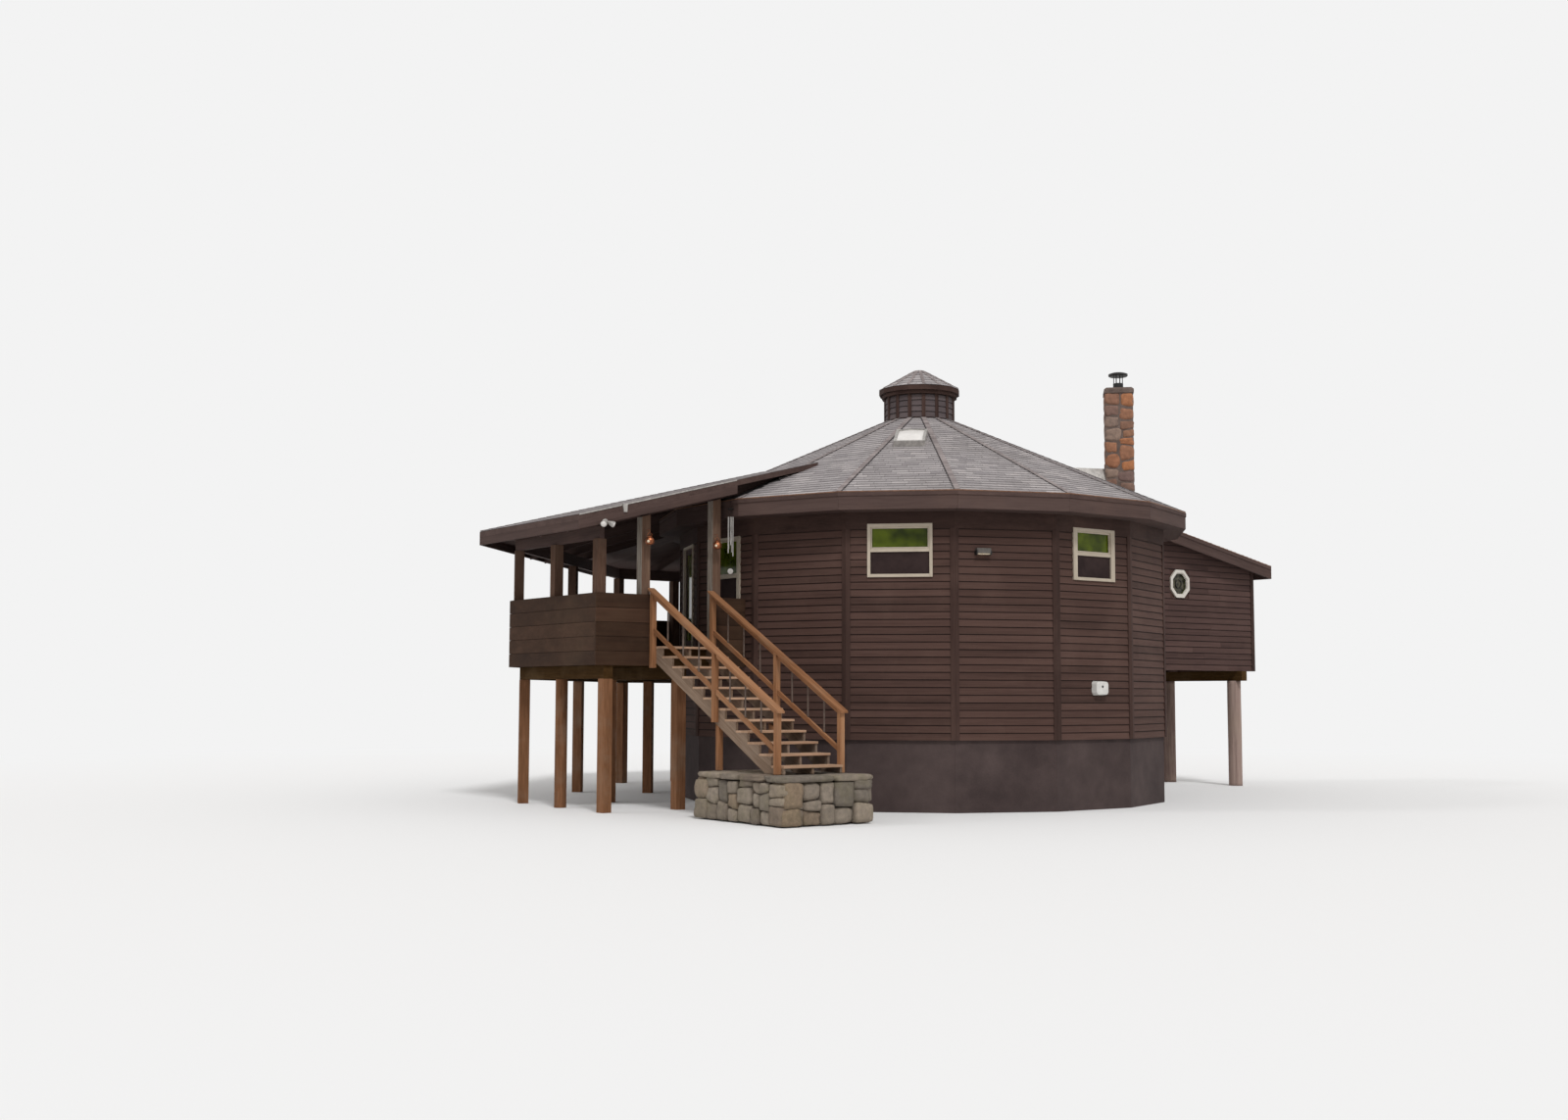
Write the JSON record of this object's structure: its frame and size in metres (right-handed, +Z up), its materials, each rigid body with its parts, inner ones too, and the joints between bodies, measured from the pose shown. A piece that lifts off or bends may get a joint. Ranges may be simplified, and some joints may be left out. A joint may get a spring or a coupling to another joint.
{
  "type": "sixteen-sided round cabin",
  "caption": "Two-level round cabin with dark clapboard walls, shingled roof and cupola, a covered deck on legs with an open stair, a stone chimney and a raised wing on log posts",
  "frame": {"origin": "centre of the round house at the lowest ground that the part stands on", "axes": "+Z up, -Y out of the front wall, +X to the right seen from the front"},
  "size_m": [15.736, 16.3112, 8.8003],
  "materials": {
    "siding": "dark brown stain on clapboards",
    "dark_trim": "dark brown stain on flat boards and posts",
    "new_lumber": "unpainted framing lumber",
    "deck_wood": "weathered boards",
    "old_timber": "weathered beams and legs",
    "log": "peeled grey logs",
    "cream_paint": "cream paint",
    "shingles": "mineral-faced asphalt shingles",
    "concrete": "painted concrete",
    "fieldstone": "rough field stones in mortar",
    "dry_stone": "dry-laid field stones",
    "dark_metal": "black sheet metal",
    "skylight_metal": "pale sheet metal",
    "glass": "clear glass"
  },
  "bodies": {
    "root": {"front_wall": "siding", "front_right_wall": "siding", "right_wall": "siding", "back_right_wall": "siding", "back_wall": "siding", "back_left_wall": "siding", "left_wall": "siding", "deck_door_wall": "siding", "cupola_wall": "siding", "wing_front_wall": "siding", "wing_back_wall": "siding", "wing_end_wall": "siding", "eave_fascia": "dark_trim", "eave_soffit": "dark_trim", "porch_posts": "dark_trim", "porch_plates": "dark_trim", "porch_rafters": "dark_trim", "porch_fascia": "dark_trim", "deck_guards": "dark_trim", "wing_rakes": "dark_trim", "deck_door": "dark_trim", "stair_stringers": "new_lumber", "stair_treads": "new_lumber", "stair_newels": "new_lumber", "stair_rails": "new_lumber", "deck_floor": "deck_wood", "deck_joists": "deck_wood", "main_floor": "deck_wood", "wing_floor": "deck_wood", "deck_beams": "old_timber", "deck_legs": "old_timber", "wing_beam": "old_timber", "wing_posts": "log", "window_frames": "cream_paint", "door_frame": "cream_paint", "main_roof": "shingles", "cupola_roof": "shingles", "porch_roof": "shingles", "wing_roof": "shingles", "foundation": "concrete", "chimney": "fieldstone", "stair_base": "dry_stone", "flue_cap": "dark_metal", "stair_balusters": "dark_metal", "skylight_frame": "skylight_metal", "window_glass": "glass", "skylight_glass": "glass"}
  },
  "joints": []
}
